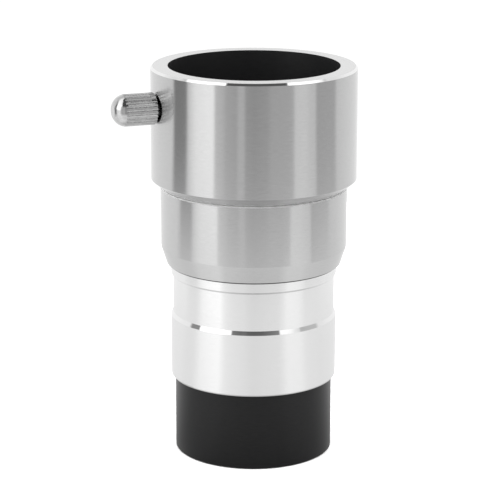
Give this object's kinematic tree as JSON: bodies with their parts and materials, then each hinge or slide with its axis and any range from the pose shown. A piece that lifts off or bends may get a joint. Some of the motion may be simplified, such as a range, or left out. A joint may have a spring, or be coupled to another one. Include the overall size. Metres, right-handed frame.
{
  "type": "barlow lens",
  "caption": "Telescope barlow: turned metal tube with a nosepiece below, a negative doublet in a screw-off black cell, and an eyepiece holder with a thumbscrew on top.",
  "frame": {"origin": "on the optical axis in the mouth of the lens cell, the plane the part stands on", "axes": "+Z along the optical axis towards the eyepiece; the thumbscrew points along azimuth 200 degrees, mostly towards -X"},
  "size_m": [0.046, 0.039, 0.075],
  "materials": {
    "satin_aluminium": "clear anodised, fine turned satin",
    "bright_barrel": "bright, finely turned",
    "black_anodised": "satin black anodised",
    "coated_glass": "polished, multi-coated",
    "screw_chrome": "bright plated",
    "screw_steel": "machined"
  },
  "bodies": {
    "lens_cell_group": {"lens_cell": "black_anodised", "retaining_ring": "black_anodised", "flint_lens": "coated_glass", "crown_lens": "coated_glass"},
    "tube_lift": {"light_baffle": "black_anodised"},
    "tube": {"nosepiece_barrel": "bright_barrel", "lower_body": "satin_aluminium", "eyepiece_holder": "satin_aluminium"},
    "screw_travel": {"thumbscrew_stud": "screw_steel"},
    "screw_head": {"thumbscrew_knob": "screw_chrome"}
  },
  "joints": [
    {"name": "tube_unscrew_travel", "type": "slide", "parent": "lens_cell_group", "child": "tube_lift", "axis": [0, 0, 1], "range_m": [0, 0.00361]},
    {"name": "tube_unscrew_turn", "type": "hinge", "parent": "tube_lift", "child": "tube", "pos_m": [0, 0, 0.0168], "axis": [0, 0, 1], "range_deg": [0, 2160]},
    {"name": "thumbscrew_travel", "type": "slide", "parent": "tube", "child": "screw_travel", "axis": [-0.9397, -0.342, 0], "range_m": [-0.00015, 0.003]},
    {"name": "thumbscrew_turn", "type": "hinge", "parent": "screw_travel", "child": "screw_head", "pos_m": [0, 0, 0.068], "axis": [-0.9397, -0.342, 0], "range_deg": [-110, 2165]}
  ],
  "couplings": [
    {"joint": "tube_unscrew_travel", "follows": "tube_unscrew_turn", "m_per_rad": 0.000095493},
    {"joint": "thumbscrew_turn", "follows": "thumbscrew_travel", "rad_per_m": 12566}
  ]
}
